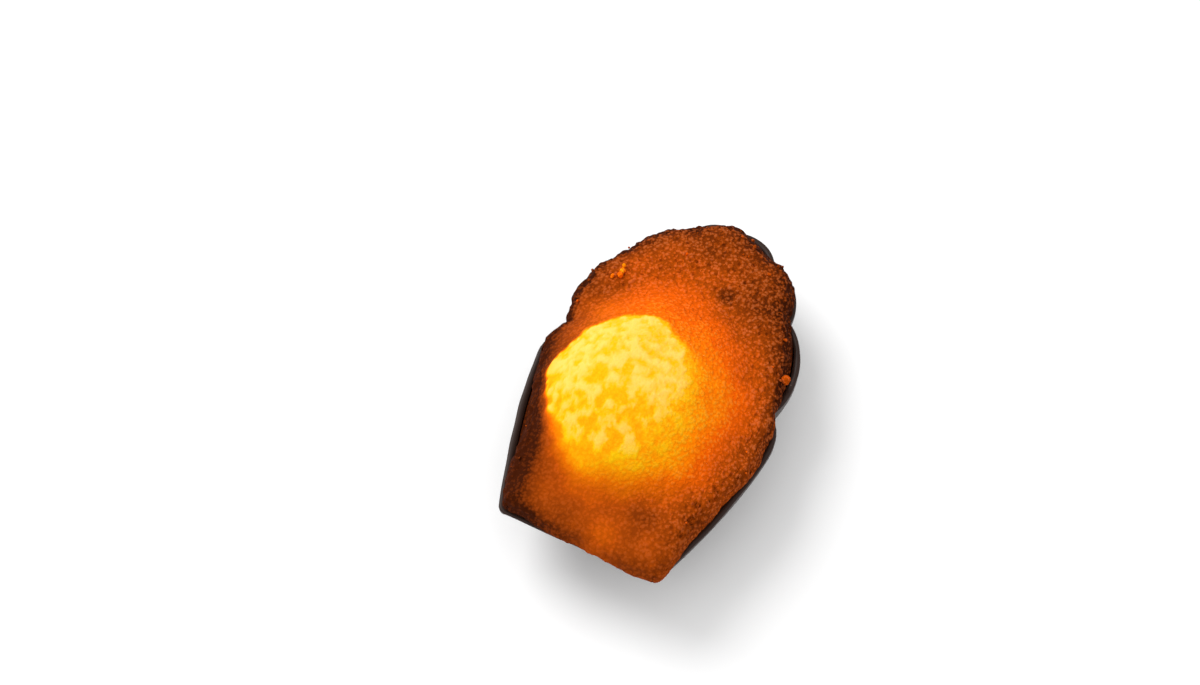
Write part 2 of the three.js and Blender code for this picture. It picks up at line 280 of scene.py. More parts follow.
class Form:
    """The madeleine's shape in millimetres, from the sizes in the panel."""

    def __init__(self, sizes):
        for name in sizes.__annotations__:
            setattr(self, name, getattr(sizes, name) / MM)

    def half_width_at(self, y):
        along = np.clip((y - self.widest_y) / (self.length - self.widest_y), 0, 1)
        wide_end = self.half_width * np.sqrt(1 - along * along)
        back = np.clip((self.widest_y - y) / self.widest_y, 0, 1)
        flank = self.half_width - (self.half_width - self.narrow_half_width) * back**FLANK_POWER
        from_corner = np.clip(1 - y / self.corner_round, 0, 1)
        flank = flank - self.corner_round * (1 - np.sqrt(1 - from_corner**2))
        return np.where(y >= self.widest_y, wide_end, flank)

    def outline(self, fan):
        """Plan of the smooth rim: fan 0 at the wide tip, whole numbers in the grooves."""
        side = np.abs(fan)
        reach = self.length - self.widest_y
        last_angle = math.asin((LAST_RIB_Y - self.widest_y) / reach)
        full_turn = RIM_TURN * LAST_RIB + RIM_TURN_GROWTH * LAST_RIB**2
        turned = (RIM_TURN * side + RIM_TURN_GROWTH * side**2) / full_turn
        angle = lerp(math.pi / 2, last_angle, np.minimum(turned, 1))
        flank_y = LAST_RIB_Y * np.clip(RIBS_EACH_SIDE - side, 0, 1) ** LAST_RIB_SPREAD
        y = np.where(side < LAST_RIB, self.widest_y + reach * np.sin(angle), flank_y)
        x = np.where(side < LAST_RIB, self.half_width * np.cos(angle), self.half_width_at(flank_y))
        return np.stack([np.sign(fan) * x, y], axis=-1)

    def body_normal(self, points):
        """Outward direction of the smooth body, as on an ellipsoid."""
        reach = np.where(points[..., 1] > self.widest_y, self.length - self.widest_y, NARROW_REACH)
        normal = np.stack(
            [
                points[..., 0] / self.half_width**2,
                (points[..., 1] - self.widest_y) / reach**2,
                points[..., 2] / self.shell_depth**2,
            ],
            axis=-1,
        )
        return normal / np.linalg.norm(normal, axis=-1, keepdims=True)

    def belly_height(self, x, y):
        """Height of the smooth belly, below 0."""
        along = np.clip((y - self.widest_y) / (self.length - self.widest_y), 0, 1)
        back = np.clip((self.widest_y - y) / self.widest_y, 0, None)
        share = np.where(
            y >= self.widest_y,
            (1 - along * along) ** BELLY_POWER,
            1 - (1 - NARROW_DEPTH_SHARE) * back * back,
        )
        half = np.maximum(self.half_width_at(y), NEARLY_ZERO)
        across = np.minimum(1, np.abs(x) / half)
        return -(self.shell_depth + FOOT_CUT) * share * (1 - across**2) ** BELLY_POWER

    def groove_share(self, fan):
        side = np.abs(fan)
        last = np.minimum(0, (side - LAST_RIB) / LAST_RIB_RISE - 1)
        from_crest = np.where(side < LAST_RIB, 2 * (side % 1) - 1, last)
        return np.abs(from_crest) ** RIB_ROUNDNESS

    def groove_depth(self, fan, along):
        side = np.minimum(1, np.abs(fan) / LAST_RIB)
        at_start = self.groove_at_end_face * (1 - side * side)
        at_rim = lerp(self.groove_at_tip, self.groove_at_side, side)
        return lerp(at_start, at_rim, smoothstep(along, 0, 1))

    def rib_start(self, fan):
        """Where a rib starts, on the lower edge of the flat narrow end."""
        corner_x = float(self.half_width_at(np.array(0.0)))
        x = corner_x * np.sin(fan / RIBS_EACH_SIDE * math.pi / 2)
        z = np.zeros_like(x)
        for _ in range(FOOT_SEARCH_STEPS):
            inside = np.abs(fan) < RIBS_EACH_SIDE
            z = np.where(inside, self.belly_height(x, -END_FACE_LEAN * z), 0)
        z = z + self.groove_depth(fan, 0) * self.groove_share(fan)
        return np.stack([x, -END_FACE_LEAN * z, z], axis=-1)

    def rib_plan(self, start, rim, t):
        """The plan line of a rib, curving outward from its start to the rim."""
        bend = np.stack(
            [
                lerp(start[..., 0], rim[..., 0], RIB_BEND_ACROSS),
                lerp(start[..., 1], rim[..., 1], RIB_BEND_ALONG),
            ],
            axis=-1,
        )
        t = t[..., None]
        return (1 - t) ** 2 * start[..., :2] + 2 * t * (1 - t) * bend + t * t * rim

    def belly(self, fans, rows, inset):
        """Columns of points: the straight narrow edge first, then from the end face to the rim."""
        fan = fans[:, None]
        start = self.rib_start(fan)
        along = rows[None, :]
        t = np.sin(along * math.pi / 2) + 0 * fan
        plan = self.rib_plan(start, self.outline(fan), t)
        height = np.where(along >= 1, 0, self.belly_height(plan[..., 0], plan[..., 1]))
        points = np.concatenate([plan, height[..., None]], axis=-1)
        cut = self.groove_depth(fan, t) * self.groove_share(fan) * smoothstep(t, 0, RIB_FADE_IN)
        points = points - self.body_normal(points) * cut[..., None]
        blend = smoothstep(t, 0, END_FACE_ROUNDING)
        z = np.where(along >= 1, 0, lerp(start[..., 2], points[..., 2], blend))
        points[..., 2] = np.maximum(z, -self.shell_depth)
        points[:, 0] = start[:, 0]
        edge = start * np.array([1, 0, 0])
        return self.drawn_in(np.concatenate([edge, points], axis=1), inset)

    def drawn_in(self, points, inset):
        """Points moved in by an inset, straight towards the nearest place on the cake's spine."""
        spine = np.zeros_like(points)
        spine[..., 1] = np.clip(points[..., 1], SPINE_START_Y, SPINE_END_Y)
        outward = points - spine
        outward = outward / np.linalg.norm(outward, axis=-1, keepdims=True)
        return points - outward * np.asarray(inset)[..., None]

    def edge_inset(self, points):
        """How far the sponge's edge stands in from the smooth outline."""
        back = self.widest_y - points[..., 1]
        direction = np.arctan2(-back, points[..., 0])
        over = OVER_NARROW_END * smoothstep(back, *OVER_NARROW_RANGE)
        for lobe in LOBES:
            over = over + lobe["over"] * bump(direction, lobe["angle"], lobe["spread"])
        left_flank = smoothstep(back, *LEFT_FLANK_ALONG)
        left_flank = left_flank * smoothstep(-points[..., 0], *LEFT_FLANK_ACROSS)
        wandering = sum(
            wave["height"] * np.sin(wave["count"] * direction + wave["turn"]) for wave in EDGE_WAVES
        )
        return EDGE_INSET - over + OFF_LEFT_FLANK * left_flank + wandering

    def sponge_edge(self, fans, on_narrow_edge, inset):
        """The sponge's edge in plan, its notches shallower than the chocolate's."""
        outline = self.outline(fans)
        narrow = self.rib_start(fans)[..., :2] * np.array([1, 0])
        plan = np.where(on_narrow_edge[:, None], narrow, outline)
        notch = NOTCH_SHARE * self.groove_depth(fans, 1) * self.groove_share(fans)
        notch = np.where(on_narrow_edge, 0, notch)
        points = np.concatenate([plan, np.zeros((len(plan), 1))], axis=-1)
        return self.drawn_in(points, self.edge_inset(points) + notch + inset)[..., :2]

    def edge_lift_at(self, y):
        towards_narrow = smoothstep(self.widest_y - y, *EDGE_LIFT_RANGE)
        return lerp(self.edge_lift, self.edge_lift_narrow, towards_narrow)

    def sponge_height(self, plan, from_edge):
        """Height of the sponge's top over the rim of the chocolate."""
        rise = np.clip(from_edge / PILLOW_WIDTH, 0, 1)
        pillow = self.pillow_height * np.sqrt(1 - (1 - rise) ** 2)
        dx = plan[..., 0] - HUMP_X
        dy = plan[..., 1] - HUMP_Y
        reach_x = np.where(dx < 0, HUMP_REACH_LEFT, HUMP_REACH)
        reach_y = np.where(dy > 0, HUMP_REACH_WIDE_END, HUMP_REACH)
        away = np.minimum(1, np.hypot(dx / reach_x, dy / reach_y))
        hump = self.hump_height * (1 - away**HUMP_SHOULDER) ** HUMP_FOOT
        return self.edge_lift_at(plan[..., 1]) + pillow + hump


def distance_to_loop(plan, loop):
    """Shortest distance in plan from each point to a closed loop."""
    nearest = np.full(plan.shape[:-1], np.inf)
    for start, end in zip(loop, np.roll(loop, -1, axis=0)):
        side = end - start
        share = np.clip((plan - start) @ side / max(side @ side, NEARLY_ZERO), 0, 1)
        nearest = np.minimum(nearest, np.linalg.norm(plan - start - share[..., None] * side, axis=-1))
    return nearest


def fan_places(steps_per_rib, steps_on_last_rib):
    """Places across the fan, from corner to corner."""
    ribs = np.arange(LAST_RIB * steps_per_rib + 1) / steps_per_rib
    last = LAST_RIB + np.arange(1, steps_on_last_rib + 1) / steps_on_last_rib
    half = np.concatenate([ribs, last])
    return np.concatenate([-half[:0:-1], half])


def rim_loop(grid):
    """A grid's outer loop: round the rim, then back along the narrow edge."""
    return np.concatenate([grid[:, -1], grid[1:-1, 0][::-1]])


WELD_DISTANCE = 1e-4


class Surface:
    """Collects grids and bands of triangles, each vertex with a part number."""

    def __init__(self):
        self.points = []
        self.parts = []
        self.triangles = []
        self.count = 0

    def add(self, points, part):
        flat = points.reshape(-1, 3)
        first = self.count
        self.points.append(flat)
        self.parts.append(np.full(len(flat), part))
        self.count += len(flat)
        return np.arange(first, self.count).reshape(points.shape[:-1])

    def quads(self, a, b, c, d):
        a, b, c, d = (corner.reshape(-1) for corner in (a, b, c, d))
        self.triangles.append(np.stack([a, b, c], axis=-1))
        self.triangles.append(np.stack([a, c, d], axis=-1))

    def grid(self, points, facing_down, part):
        index = self.add(points, part)
        a, b, c, d = index[:-1, :-1], index[:-1, 1:], index[1:, 1:], index[1:, :-1]
        if facing_down:
            self.quads(a, b, c, d)
        else:
            self.quads(d, c, b, a)

    def bands(self, loops, part):
        """Bands between loops of one count, each loop's next point one step on."""
        index = self.add(np.stack(loops), part)
        following = np.roll(index, -1, axis=1)
        self.quads(index[:-1], index[1:], following[1:], following[:-1])

    def mesh(self, name):
        """A welded mesh, with the part number of each vertex."""
        points = np.concatenate(self.points)
        parts = np.concatenate(self.parts)
        triangles = np.concatenate(self.triangles)
        keys = np.round(points / WELD_DISTANCE).astype(np.int64)
        _, first, welded = np.unique(keys, axis=0, return_index=True, return_inverse=True)
        highest_part = np.zeros(len(first), dtype=int)
        np.maximum.at(highest_part, welded.reshape(-1), parts)
        triangles = welded.reshape(-1)[triangles]
        a, b, c = triangles.T
        triangles = triangles[(a != b) & (b != c) & (c != a)]
        mesh = bpy.data.meshes.new(name)
        mesh.from_pydata(points[first].tolist(), [], triangles.tolist())
        mesh.shade_smooth()
        return mesh, highest_part


def rows_of(items, name):
    """A mesh's vertices or normals as rows of x, y and z."""
    flat = np.empty(len(items) * 3, dtype=np.float32)
    items.foreach_get(name, flat)
    return flat.reshape(-1, 3).astype(float)


def frame_shift():
    """Where the middle of the narrow end's rim stands in the frame, in metres."""
    low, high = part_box("chocolate_shell")
    return np.array([(low[0] + high[0]) / 2, low[1], high[2]])


def place(mesh, points):
    """Moves the mesh's points, in millimetres from the rim, into the frame, inside its box."""
    low, high = (np.array(corner) for corner in CAD_BOUNDS)
    placed = np.clip(points * MM + frame_shift(), low, high)
    mesh.vertices.foreach_set("co", placed.astype(np.float32).reshape(-1))
    mesh.update()


def store(mesh, name, values):
    """Keeps one number per vertex for the material."""
    attribute = mesh.attributes.new(name, "FLOAT", "POINT")
    attribute.data.foreach_set("value", values.astype(np.float32))


class Nodes:
    """Adds shader nodes with their settings and links."""

    def __init__(self, name):
        self.material = bpy.data.materials.new(name)
        self.material.use_nodes = True
        self.tree = self.material.node_tree
        self.shader = self.tree.nodes["Principled BSDF"]

    def add(self, kind, settings=None, **inputs):
        node = self.tree.nodes.new(kind)
        for name, value in (settings or {}).items():
            setattr(node, name, value)
        for name, value in inputs.items():
            self.set(node, name, value)
        return node

    def set(self, node, name, value):
        key = int(name[1:]) if name[0] == "_" and name[1:].isdigit() else name.replace("_", " ")
        socket = node.inputs[key]
        if isinstance(value, bpy.types.NodeSocket):
            self.tree.links.new(value, socket)
        else:
            socket.default_value = value

    def math(self, operation, first, second=0.0, third=0.0):
        node = self.add("ShaderNodeMath", {"operation": operation}, _0=first, _1=second, _2=third)
        return node.outputs[0]

    def noise(self, size_mm, detail, seed_shift):
        """Noise whose features are about size_mm wide, from the object's own coordinates."""
        where = self.add("ShaderNodeTexCoord").outputs["Object"]
        moved = self.add("ShaderNodeVectorMath", {"operation": "ADD"}, _0=where, _1=(seed_shift,) * 3)
        texture = self.add(
            "ShaderNodeTexNoise", Vector=moved.outputs[0], Scale=1 / (size_mm * MM), Detail=detail
        )
        return texture.outputs["Fac"]

    def dots(self, size_mm, warp=None):
        """Distance to random dots about size_mm apart, in steps of that size, and their tone."""
        where = self.add("ShaderNodeTexCoord").outputs["Object"]
        if warp:
            shift = self.add("ShaderNodeVectorMath", {"operation": "SCALE"}, _0=warp, Scale=size_mm * MM)
            moved = self.add("ShaderNodeVectorMath", {"operation": "ADD"}, _0=where, _1=shift.outputs[0])
            where = moved.outputs[0]
        texture = self.add("ShaderNodeTexVoronoi", Vector=where, Scale=1 / (size_mm * MM))
        return texture.outputs["Distance"], texture.outputs["Color"]

    def ramp(self, value, stops):
        """Colour stops, as pairs of place and linear colour."""
        node = self.add("ShaderNodeValToRGB", Fac=value)
        elements = node.color_ramp.elements
        while len(elements) < len(stops):
            elements.new(0.5)
        for element, (at, colour) in zip(elements, stops):
            element.position = at
            element.color = (*colour, 1)
        return node.outputs["Color"]

    def mix(self, mode, factor, first, second):
        node = self.add("ShaderNodeMix", {"data_type": "RGBA", "blend_type": mode})
        self.set(node, "_0", factor)
        for socket, value in ((node.inputs[6], first), (node.inputs[7], second)):
            if isinstance(value, bpy.types.NodeSocket):
                self.tree.links.new(value, socket)
            else:
                socket.default_value = (*value, 1)
        return node.outputs[2]

    def attribute(self, name):
        return self.add("ShaderNodeAttribute", {"attribute_name": name}).outputs["Fac"]


# Sizes of the crust's fine pattern in millimetres, and how strongly it shows.
GRAIN_SIZE = 0.75
GRAIN_WARP_SIZE = 1.1
SPECKLE_SIZE = 0.7
FINE_GRAIN_SIZE = 0.33
DARKEST_GRAIN = 0.24
PALEST_GRAIN = -0.28
MOST_LIGHTENING = -0.14
GRAIN_CONTRAST = 0.58
LEAST_CONTRAST = 0.04
COLOUR_STOPS = {"pale": 0.0, "golden": 0.15, "amber": 0.3, "orange": 0.44, "brown": 0.7, "dark": 1.0}
TOASTED_TINT = (0.8, 1.22, 0.8)
# Painted highlight on the grain tops: its strength, its strength where the crust is darkest, its colour.
MOST_GRAIN_HIGHLIGHT = 1.7
GRAIN_HIGHLIGHT_IN_DARK = 0.3
GRAIN_HIGHLIGHT_COLOUR = "#c4855a"
PORE_COLOUR = "#7a3208"


def baked_crust():
    """Oven-browned sponge crust: the eye reads how far each place was baked, and its open grain."""
    looks = bpy.context.scene.madeleine_looks
    nodes = Nodes("Oven-browned sponge crust")
    browning = nodes.attribute("browning")
    torn = nodes.attribute("torn")
    pores = nodes.attribute("pores")
    speckle = nodes.noise(SPECKLE_SIZE, 2, 0.05)
    fine = nodes.noise(FINE_GRAIN_SIZE, 1, 0.09)
    # Grains of crumb, each with its own tone: painted highlight on their tops,
    # and darker crust with painted shade between them.
    between, tone = nodes.dots(GRAIN_SIZE, nodes.noise(GRAIN_WARP_SIZE, 1, 0.03))
    grain_tone_and_light = nodes.math("MULTIPLY_ADD", between, 0.9, nodes.math("MULTIPLY", tone, -0.35))
    grain_tone_and_light = nodes.math("MULTIPLY_ADD", speckle, -0.9, nodes.math("ADD", grain_tone_and_light, 0.23))
    grain_tone_and_light = nodes.math("MULTIPLY_ADD", nodes.math("SUBTRACT", fine, 0.5), -0.6, grain_tone_and_light)
    grain_tone_and_light = nodes.math("MAXIMUM", nodes.math("MINIMUM", grain_tone_and_light, DARKEST_GRAIN), PALEST_GRAIN)
    # Strong on the dry margin of the wide end, weak on the torn crumb and at the narrow end.
    coarse = nodes.attribute("coarse")
    uneven = nodes.math("MULTIPLY_ADD", browning, GRAIN_CONTRAST, LEAST_CONTRAST)
    uneven = nodes.math("MULTIPLY", uneven, coarse)
    lightened = nodes.math("MAXIMUM", grain_tone_and_light, MOST_LIGHTENING)
    wandered = nodes.math("MULTIPLY_ADD", lightened, uneven, browning)
    colour = nodes.ramp(wandered, [(at, getattr(looks, name)) for name, at in COLOUR_STOPS.items()])
    # Where the narrow end is lightly baked, it is a yellower brown than the rest.
    toasted = nodes.math("MULTIPLY", nodes.math("SUBTRACT", 1.0, torn), nodes.attribute("toasted"))
    colour = nodes.mix("MULTIPLY", toasted, colour, TOASTED_TINT)
    # The tops of the grains get a painted highlight, paler and less orange than the crust round them,
    # least where it is darkest.
    lighter = nodes.math("MULTIPLY_ADD", browning, 5.0, -5.0 - GRAIN_HIGHLIGHT_IN_DARK)
    lighter = nodes.math("MINIMUM", lighter, -GRAIN_HIGHLIGHT_IN_DARK)
    lighter = nodes.math("MAXIMUM", lighter, -MOST_GRAIN_HIGHLIGHT)
    grain_highlight = nodes.math("MULTIPLY", nodes.math("MULTIPLY", grain_tone_and_light, lighter), coarse)
    grain_highlight = nodes.math("MULTIPLY", nodes.math("MAXIMUM", grain_highlight, 0), uneven)
    colour = nodes.mix("MIX", grain_highlight, colour, linear(GRAIN_HIGHLIGHT_COLOUR))
    # Pores hold shade and darker crust.
    colour = nodes.mix("MULTIPLY", nodes.math("MULTIPLY", pores, 0.75), colour, linear(PORE_COLOUR))
    nodes.set(nodes.shader, "Base_Color", colour)
    # A matt dry crust with hardly any highlight. The torn crumb lets some light through.
    nodes.set(nodes.shader, "Roughness", 0.8)
    nodes.set(nodes.shader, "Specular_IOR_Level", 0.03)
    nodes.set(nodes.shader, "Subsurface_Weight", nodes.math("MULTIPLY", torn, 0.15))
    nodes.set(nodes.shader, "Subsurface_Radius", (1.0, 0.45, 0.15))
    nodes.set(nodes.shader, "Subsurface_Scale", 0.0008)
    # Grains too small for the mesh.
    height = nodes.math("MULTIPLY_ADD", between, -1.0, nodes.math("MULTIPLY_ADD", fine, 0.4, speckle))
    strength = nodes.math("MULTIPLY", nodes.math("MULTIPLY_ADD", torn, -0.6, 0.9), coarse)
    surface = nodes.add("ShaderNodeBump", Strength=strength, Distance=0.0004, Height=height)
    nodes.set(nodes.shader, "Normal", surface.outputs[0])
    return nodes.material


# Sizes of the chocolate's pattern in millimetres. A cell has a speck where its random number
# is above SPECK_ABOVE, and SPECK_REACH is the speck's radius as a share of the spacing.
CLOUD_SIZE = 7
SPECK_SPACING = 1.6
SPECK_ABOVE = 0.78
SPECK_REACH = 0.09
SPECK_COLOUR = "#9a857b"
MOULD_WAVE_SIZE = 2.2


def moulded_chocolate():
    """Dark chocolate set in a smooth mould: satin, with long soft highlights and pale specks."""
    looks = bpy.context.scene.madeleine_looks
    nodes = Nodes("Mould-set dark chocolate")
    clouds = nodes.noise(CLOUD_SIZE, 3, 0.01)
    distance, random_colour = nodes.dots(SPECK_SPACING)
    # Specks of air and fat bloom, in some of the cells.
    chosen = nodes.math("GREATER_THAN", random_colour, SPECK_ABOVE)
    near = nodes.math("LESS_THAN", distance, SPECK_REACH)
    speck = nodes.math("MULTIPLY", chosen, near)
    lighter = tuple(1.9 * channel for channel in looks.chocolate)
    bloom = nodes.math("MULTIPLY", clouds, 0.35)
    colour = nodes.mix("MIX", bloom, tuple(looks.chocolate), lighter)
    colour = nodes.mix("MIX", nodes.math("MULTIPLY", speck, 0.6), colour, linear(SPECK_COLOUR))
    nodes.set(nodes.shader, "Base_Color", colour)
    # Satin: the mould's polish is dulled by bloom in soft clouds.
    roughness = nodes.math("MULTIPLY_ADD", clouds, 0.16, 0.3)
    nodes.set(nodes.shader, "Roughness", roughness)
    nodes.set(nodes.shader, "IOR", 1.5)
    nodes.set(nodes.shader, "Specular_IOR_Level", 0.18)
    waves = nodes.noise(MOULD_WAVE_SIZE, 2, 0.03)
    surface = nodes.add("ShaderNodeBump", Strength=0.12, Distance=0.0003, Height=waves)
    nodes.set(nodes.shader, "Normal", surface.outputs[0])
    return nodes.material


def plain_matt(name, colour):
    """A plain matt surface that only receives soft shadow."""
    nodes = Nodes(name)
    nodes.set(nodes.shader, "Base_Color", (*colour, 1))
    nodes.set(nodes.shader, "Roughness", 0.9)
    nodes.set(nodes.shader, "Specular_IOR_Level", 0.1)
    return nodes.material


def show(mesh, name, material, node):
    """Makes the object, gives it its material, and has it stand for a node of the frame."""
    piece = bpy.data.objects.new(name, mesh)
    bpy.context.scene.collection.objects.link(piece)
    piece.data.materials.append(material)
    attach(piece, "root")
    if node:
        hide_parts(node)


# The torn patch on the hump, and the crags on the left of the wide end, in millimetres.
PATCH_X = -5
PATCH_Y = 29.3
PATCH_REACH_X = 15.8
PATCH_REACH_Y = 16.2
CRAGS_X = -21.5
CRAGS_Y = 50
CRAGS_REACH = 6

# Round marks on the crust: place, reach in mm, how much darker, and depth of the dent in mm.
MARKS = (
    {"x": 9.6, "y": 9.6, "reach": 5, "darker": 0.12, "dent": 0.25},
    {"x": 4.2, "y": 60, "reach": 3, "darker": 0.2, "dent": 0.35},
    {"x": 4.2, "y": 1.7, "reach": 5, "darker": -0.13, "dent": 0},
    {"x": 14, "y": 61, "reach": 15, "darker": 0.13, "dent": 0},
    # The next two darken the left flank: partly darker crust, partly painted shade.
    {"x": -18, "y": 5, "reach": 9, "darker": 0.22, "dent": 0},
    {"x": -18, "y": 16, "reach": 10, "darker": 0.2, "dent": 0},
    {"x": -16.5, "y": 51, "reach": 6, "darker": 0.13, "dent": 0},
    {"x": -23.5, "y": 45.5, "reach": 6, "darker": -0.14, "dent": 0},
    {"x": -1, "y": 70, "reach": 7, "darker": 0.08, "dent": 0},
)

# The crust on each side of the patch: how many millimetres the patch fades over, how far the
# crust is baked at its border and at the margin, and how many millimetres lie between those.
SOFTNESS = {"right": 8, "left": 0.6, "wide_end": 1.5, "narrow_end": 5.5}
# On the left the crust at the border and margin is darkest: partly its own baking, partly painted shade.
AT_BORDER = {"right": 0.26, "left": 0.78, "wide_end": 0.38, "narrow_end": 0.28}
AT_MARGIN = {"right": 0.62, "left": 0.84, "wide_end": 0.7, "narrow_end": 0.73}
MARGIN_REACH = {"right": 12, "left": 3, "wide_end": 24, "narrow_end": 7}
BORDER_WANDER = 0.9
CORNER_CUT = 4.6
ON_PATCH = (0.03, 0.1)
# Darker towards the edge: how much, and from and to which distance from it.
EDGE_DARKER = 0.13
EDGE_RANGE = (6, 0.3)
RIM_DARKER = 0.24
RIM_RANGE = (1.8, 0)
DARKER_AT_RIGHT = 0.28
BLOTCHES = 0.04
BLOTCH_SIZE = 5


def around(plan, x, y, reach):
    """1 at a place in plan, falling smoothly to 0 one reach away."""
    return bump(np.hypot(plan[:, 0] - x, plan[:, 1] - y), 0, reach)


def torn_crumb(points):
    """Lumps of torn crumb, 1 on their tops and 0 between them."""
    warped = points + 0.5 * np.stack([grain(points, 1.2, seed) for seed in (41, 42, 43)], axis=-1)
    return smoothstep(layered_grain(warped, 1.6, 5, 4), -0.7, 0.9)


def by_side(values, shares):
    """The value at each place, from its share of each side of the patch."""
    return sum(values[side] * share for side, share in shares.items())


def browning_at(plan, from_edge):
    """How far the crust is baked, 0 pale and 1 darkest, and the share of torn crumb."""
    points = np.concatenate([plan, np.zeros((len(plan), 1))], axis=-1)
    dx = (plan[:, 0] - PATCH_X) / PATCH_REACH_X
    dy = (plan[:, 1] - PATCH_Y) / PATCH_REACH_Y
    away = np.hypot(dx, dy) + NEARLY_ZERO
    right = np.clip(dx / away, 0, None) ** 2
    wide_end = np.clip(dy / away, 0, None) ** 2
    narrow_end = np.clip(-dy / away, 0, None) ** np.where(dx < 0, 4, 2)
    left = np.where(dx < 0, 1 - wide_end - narrow_end, 0)
    shares = {"right": right, "left": left, "wide_end": wide_end, "narrow_end": narrow_end}
    beyond = PATCH_REACH_X * (away - 1) + BORDER_WANDER * layered_grain(points, BLOTCH_SIZE, 11, 3)
    # The patch is a little smaller towards the narrow end's left corner.
    beyond += CORNER_CUT * np.clip(-dx / away, 0, None) * np.clip(-dy / away - 0.25, 0, None)
    # The skin tore along the left and the wide-end side, so the patch ends sharply there.
    softness = by_side(SOFTNESS, shares)
    at_border = by_side(AT_BORDER, shares)
    at_margin = by_side(AT_MARGIN, shares)
    reach = by_side(MARGIN_REACH, shares)
    on_patch = lerp(*ON_PATCH, smoothstep(PATCH_Y + 8 - plan[:, 1], 0, 20))
    torn = 1 - smoothstep(beyond, -softness, 0.3 * softness + 1.5 * narrow_end)
    baked = lerp(at_border, on_patch, torn)
    baked += (at_margin - at_border) * smoothstep(beyond, 0, reach)
    edge = EDGE_DARKER * smoothstep(from_edge, *EDGE_RANGE)
    edge = edge + RIM_DARKER * smoothstep(from_edge, *RIM_RANGE)
    baked += edge * lerp(DARKER_AT_RIGHT, 1, smoothstep(0.9 * plan[:, 1] - plan[:, 0], -8, 30))
    uneven = BLOTCHES * layered_grain(points, BLOTCH_SIZE, 31, 3)
    uneven += BLOTCHES * around(plan, CRAGS_X, CRAGS_Y, CRAGS_REACH)
    for mark in MARKS:
        uneven += mark["darker"] * around(plan, mark["x"], mark["y"], mark["reach"])
    return np.clip(baked + smoothstep(beyond, 0, 2) * uneven, 0, 1), torn


# Counts of the sponge's mesh: columns on each rib and on the last one, then rows.
SPONGE_FAN_STEPS = (46, 62)
SPONGE_BELLY_ROWS = 14
SPONGE_TOP_ROWS = 190
ROW_CROWDING = 0.55
LOOP_POINTS = 300
# Rings of the rounded edge: share of its height, and share of the bulge.
EDGE_RINGS = ((0, 0.1), (0.2, 0.75), (0.5, 1), (0.8, 0.75))
BELLY, EDGE, TOP = range(3)


def sponge_mesh(form):
    """The smooth sponge, the part that each vertex belongs to, and a coarse loop of its edge."""
    fans = fan_places(*SPONGE_FAN_STEPS)
    belly = form.belly(fans, np.linspace(0, 1, SPONGE_BELLY_ROWS), form.shell_thickness + JOINT_GAP)
    # Rows of the top, closer together towards both ends of each rib.
    even = np.linspace(0, 1, SPONGE_TOP_ROWS)
    t = lerp(even, (1 - np.cos(even * math.pi)) / 2, ROW_CROWDING)
    on_narrow_edge = np.abs(fans) < RIBS_EACH_SIDE
    start = form.sponge_edge(fans, on_narrow_edge, SIDE_BULGE)[:, None]
    rim = form.sponge_edge(fans, np.zeros(len(fans), bool), SIDE_BULGE)[:, None]
    plan = form.rib_plan(start, rim, t[None, :] + 0 * fans[:, None])
    loop = rim_loop(plan)
    coarse_loop = loop[:: len(loop) // LOOP_POINTS]
    height = form.sponge_height(plan, distance_to_loop(plan, coarse_loop))
    top = np.concatenate([plan, height[..., None]], axis=-1)
    edge = rim_loop(top)
    neck = rim_loop(belly)
    lift = form.edge_lift_at(edge[:, 1])
    loops = [neck, neck * IN_PLAN + np.array([0, 0, REST_GAP])]
    for share, out in EDGE_RINGS:
        ring = form.drawn_in(edge * IN_PLAN, np.full(len(edge), -SIDE_BULGE * out))
        ring[:, 2] = REST_GAP + share * (lift - REST_GAP)
        loops.append(ring)
    loops.append(edge)
    surface = Surface()
    surface.grid(belly, True, BELLY)
    surface.bands(loops[:2], BELLY)
    surface.bands(loops[1:], EDGE)
    surface.grid(top, False, TOP)
    mesh, part = surface.mesh("sponge_crust")
    return mesh, part, coarse_loop


# The crust changes from the narrow end's left corner to the far right, by x + y in millimetres.
LEAST_COARSE = 0.4
COARSE_RANGE = (5, 45)
TOASTED_RANGE = (42, 14)
TOASTED_BROWNING = (0.7, 0.45)
CRUMB_GAPS_DARKER = 0.11
CRUMB_TOPS_PALER = 0.18
HIDDEN_BROWNING = 0.8
# Layers of relief, with size and height in millimetres. The sand's height is a share of its relief.
SAND = ({"size": 1.5, "height": 1, "seed": 3}, {"size": 0.8, "height": 0.7, "seed": 4})
LUMPS = ({"size": 9, "height": 0.3, "seed": 8}, {"size": 3.5, "height": 0.14, "seed": 9})
RAGGED_EDGE = ({"size": 2.2, "height": 0.35, "seed": 14}, {"size": 0.9, "height": 0.3, "seed": 15})
SAND_BY_BROWNING = (0.5, 1.5)
LUMPS_FROM_EDGE = (0, 5)
RAGGED_TO_EDGE = (3.5, 0.5)
CRAGS_SIZE = 1.6
CRAGS_HEIGHT = 0.4
PIT_SPACING = 1.3
SMALLEST_PIT = 0.25
PITS_WIDER = 0.4
PIT_FLOOR = 0.05
PITS_BY_BROWNING = (0.4, 0.7)
PIT_SHADE = 0.7
RELIEF_SETS_IN = 0.8


def relief_layers(points, layers):
    """Noise in layers, each with its own size, height and seed."""
    return sum(layer["height"] * grain(points, layer["size"], layer["seed"]) for layer in layers)


